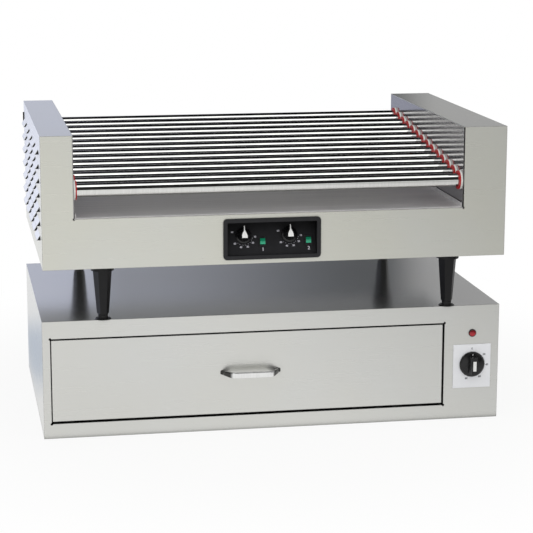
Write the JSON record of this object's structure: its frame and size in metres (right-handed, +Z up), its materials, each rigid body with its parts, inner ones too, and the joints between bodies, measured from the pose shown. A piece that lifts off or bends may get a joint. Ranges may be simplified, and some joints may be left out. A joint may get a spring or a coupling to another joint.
{
  "type": "roller grill with drawer warmer",
  "caption": "Slanted hot dog roller grill with chain-driven heated rollers, standing on four tapered legs on a heated bun drawer cabinet.",
  "frame": {"origin": "centre of the bounding box's footprint, on the floor", "axes": "+X to the right seen from the front, +Y to the back, +Z up; the controls and the drawer face -Y"},
  "size_m": [0.9026, 0.601, 0.5843],
  "materials": {
    "stainless_sheet": "satin, fine grain",
    "stainless_tray": "satin, darker with heat",
    "zinc_plated_steel": "zinc plated",
    "plated_steel": "nickel plated",
    "chromed_roller": "polished",
    "chromed_handle": "polished",
    "element_sheath": "heat darkened",
    "black_plastic": "moulded",
    "black_knob": "moulded, satin",
    "black_moulding": "moulded, satin",
    "black_leg": "moulded, satin",
    "white_dial": "satin",
    "white_bearing": "smooth",
    "white_guide": "machined",
    "red_silicone": "satin",
    "red_lens": "clear moulded",
    "green_rocker": "clear moulded",
    "chain_steel": "oiled",
    "motor_paint": "painted"
  },
  "bodies": {
    "cabinet": {"cabinet_shell": "stainless_sheet", "cabinet_front": "stainless_sheet", "cabinet_back": "stainless_sheet", "cabinet_base": "stainless_sheet", "control_divider": "stainless_sheet", "drawer_rails": "zinc_plated_steel", "leg_cups": "black_leg", "warmer_element": "element_sheath", "warmer_controls": "black_plastic", "dial_plate": "white_dial", "pilot_lens": "red_lens", "cabinet_gland": "black_plastic", "cabinet_screws": "plated_steel"},
    "drawer": {"drawer_box": "stainless_sheet", "drawer_front": "stainless_sheet", "drawer_handle": "chromed_handle", "drawer_runners": "zinc_plated_steel"},
    "warmer_knob": {"warmer_knob": "black_knob"},
    "grill": {"grill_front": "stainless_sheet", "grill_side_left": "stainless_sheet", "grill_side_right": "stainless_sheet", "inner_wall_left": "stainless_sheet", "inner_wall_right": "stainless_sheet", "grill_back": "stainless_sheet", "grill_base": "stainless_sheet", "deck": "stainless_tray", "roller_bearings": "white_bearing", "roller_seals": "red_silicone", "roller_heaters": "element_sheath", "drive_chain": "chain_steel", "chain_guide": "white_guide", "gear_motor": "motor_paint", "idler_arm": "zinc_plated_steel", "control_panel": "black_moulding", "control_units": "black_plastic", "grill_legs": "black_leg", "levelling_feet": "black_leg", "grill_gland": "black_plastic", "grill_screws": "plated_steel"},
    "drip_tray": {"drip_tray": "stainless_tray"},
    "drive_sprocket": {"drive_sprocket": "plated_steel"},
    "idler_sprocket": {"idler_sprocket": "plated_steel"},
    "front_heat_knob": {"front_heat_knob": "black_knob"},
    "rear_heat_knob": {"rear_heat_knob": "black_knob"},
    "front_switch": {"front_switch": "green_rocker"},
    "rear_switch": {"rear_switch": "green_rocker"},
    "roller_01": {"roller_01": "chromed_roller"},
    "roller_02": {"roller_02": "chromed_roller"},
    "roller_03": {"roller_03": "chromed_roller"},
    "roller_04": {"roller_04": "chromed_roller"},
    "roller_05": {"roller_05": "chromed_roller"},
    "roller_06": {"roller_06": "chromed_roller"},
    "roller_07": {"roller_07": "chromed_roller"},
    "roller_08": {"roller_08": "chromed_roller"},
    "roller_09": {"roller_09": "chromed_roller"},
    "roller_10": {"roller_10": "chromed_roller"},
    "roller_11": {"roller_11": "chromed_roller"},
    "roller_12": {"roller_12": "chromed_roller"},
    "roller_13": {"roller_13": "chromed_roller"},
    "roller_14": {"roller_14": "chromed_roller"}
  },
  "joints": [
    {"name": "grill_lift", "type": "slide", "parent": "cabinet", "child": "grill", "axis": [0, 0, 1], "range_m": [0, 0.12]},
    {"name": "drawer_slide", "type": "slide", "parent": "cabinet", "child": "drawer", "axis": [0, -1, 0], "range_m": [0, 0.38]},
    {"name": "warmer_knob_turn", "type": "hinge", "parent": "cabinet", "child": "warmer_knob", "pos_m": [0.3938, -0.2675, 0.1102], "axis": [0, 1, 0], "range_deg": [0, 210]},
    {"name": "drip_tray_slide", "type": "slide", "parent": "grill", "child": "drip_tray", "axis": [0, -1, 0], "range_m": [0, 0.45]},
    {"name": "front_heat_knob_turn", "type": "hinge", "parent": "grill", "child": "front_heat_knob", "pos_m": [-0.0645, -0.28038, 0.38415], "axis": [0, 0.935, -0.3545], "range_deg": [0, 290]},
    {"name": "rear_heat_knob_turn", "type": "hinge", "parent": "grill", "child": "rear_heat_knob", "pos_m": [0.0239, -0.28038, 0.38415], "axis": [0, 0.935, -0.3545], "range_deg": [0, 290]},
    {"name": "front_switch_tip", "type": "hinge", "parent": "grill", "child": "front_switch", "pos_m": [-0.0281, -0.28252, 0.37287], "axis": [1, 0, 0], "range_deg": [-10, 0]},
    {"name": "rear_switch_tip", "type": "hinge", "parent": "grill", "child": "rear_switch", "pos_m": [0.0603, -0.28252, 0.37287], "axis": [1, 0, 0], "range_deg": [-10, 0]},
    {"name": "drive_turn", "type": "hinge", "parent": "grill", "child": "drive_sprocket", "pos_m": [0.3882, 0.1225, 0.3857], "axis": [1, 0, 0], "continuous": true, "deforming": ["drive_chain"]},
    {"name": "idler_turn", "type": "hinge", "parent": "grill", "child": "idler_sprocket", "pos_m": [0.3882, -0.1075, 0.38803], "axis": [1, 0, 0], "continuous": true},
    {"name": "roller_01_turn", "type": "hinge", "parent": "grill", "child": "roller_01", "pos_m": [0, -0.2753, 0.4796], "axis": [1, 0, 0], "continuous": true},
    {"name": "roller_02_turn", "type": "hinge", "parent": "grill", "child": "roller_02", "pos_m": [0, -0.23557, 0.48424], "axis": [1, 0, 0], "continuous": true},
    {"name": "roller_03_turn", "type": "hinge", "parent": "grill", "child": "roller_03", "pos_m": [0, -0.19584, 0.48888], "axis": [1, 0, 0], "continuous": true},
    {"name": "roller_04_turn", "type": "hinge", "parent": "grill", "child": "roller_04", "pos_m": [0, -0.15611, 0.49352], "axis": [1, 0, 0], "continuous": true},
    {"name": "roller_05_turn", "type": "hinge", "parent": "grill", "child": "roller_05", "pos_m": [0, -0.11638, 0.49816], "axis": [1, 0, 0], "continuous": true},
    {"name": "roller_06_turn", "type": "hinge", "parent": "grill", "child": "roller_06", "pos_m": [0, -0.07665, 0.50279], "axis": [1, 0, 0], "continuous": true},
    {"name": "roller_07_turn", "type": "hinge", "parent": "grill", "child": "roller_07", "pos_m": [0, -0.03692, 0.50743], "axis": [1, 0, 0], "continuous": true},
    {"name": "roller_08_turn", "type": "hinge", "parent": "grill", "child": "roller_08", "pos_m": [0, 0.00281, 0.51207], "axis": [1, 0, 0], "continuous": true},
    {"name": "roller_09_turn", "type": "hinge", "parent": "grill", "child": "roller_09", "pos_m": [0, 0.04254, 0.51671], "axis": [1, 0, 0], "continuous": true},
    {"name": "roller_10_turn", "type": "hinge", "parent": "grill", "child": "roller_10", "pos_m": [0, 0.08227, 0.52135], "axis": [1, 0, 0], "continuous": true},
    {"name": "roller_11_turn", "type": "hinge", "parent": "grill", "child": "roller_11", "pos_m": [0, 0.122, 0.52599], "axis": [1, 0, 0], "continuous": true},
    {"name": "roller_12_turn", "type": "hinge", "parent": "grill", "child": "roller_12", "pos_m": [0, 0.16173, 0.53063], "axis": [1, 0, 0], "continuous": true},
    {"name": "roller_13_turn", "type": "hinge", "parent": "grill", "child": "roller_13", "pos_m": [0, 0.20146, 0.53527], "axis": [1, 0, 0], "continuous": true},
    {"name": "roller_14_turn", "type": "hinge", "parent": "grill", "child": "roller_14", "pos_m": [0, 0.24119, 0.53991], "axis": [1, 0, 0], "continuous": true}
  ],
  "couplings": [
    {"joint": "idler_turn", "follows": "drive_turn", "ratio": 1.1667},
    {"joint": "roller_01_turn", "follows": "drive_turn", "ratio": 1.4},
    {"joint": "roller_02_turn", "follows": "drive_turn", "ratio": 1.4},
    {"joint": "roller_03_turn", "follows": "drive_turn", "ratio": 1.4},
    {"joint": "roller_04_turn", "follows": "drive_turn", "ratio": 1.4},
    {"joint": "roller_05_turn", "follows": "drive_turn", "ratio": 1.4},
    {"joint": "roller_06_turn", "follows": "drive_turn", "ratio": 1.4},
    {"joint": "roller_07_turn", "follows": "drive_turn", "ratio": 1.4},
    {"joint": "roller_08_turn", "follows": "drive_turn", "ratio": 1.4},
    {"joint": "roller_09_turn", "follows": "drive_turn", "ratio": 1.4},
    {"joint": "roller_10_turn", "follows": "drive_turn", "ratio": 1.4},
    {"joint": "roller_11_turn", "follows": "drive_turn", "ratio": 1.4},
    {"joint": "roller_12_turn", "follows": "drive_turn", "ratio": 1.4},
    {"joint": "roller_13_turn", "follows": "drive_turn", "ratio": 1.4},
    {"joint": "roller_14_turn", "follows": "drive_turn", "ratio": 1.4}
  ]
}
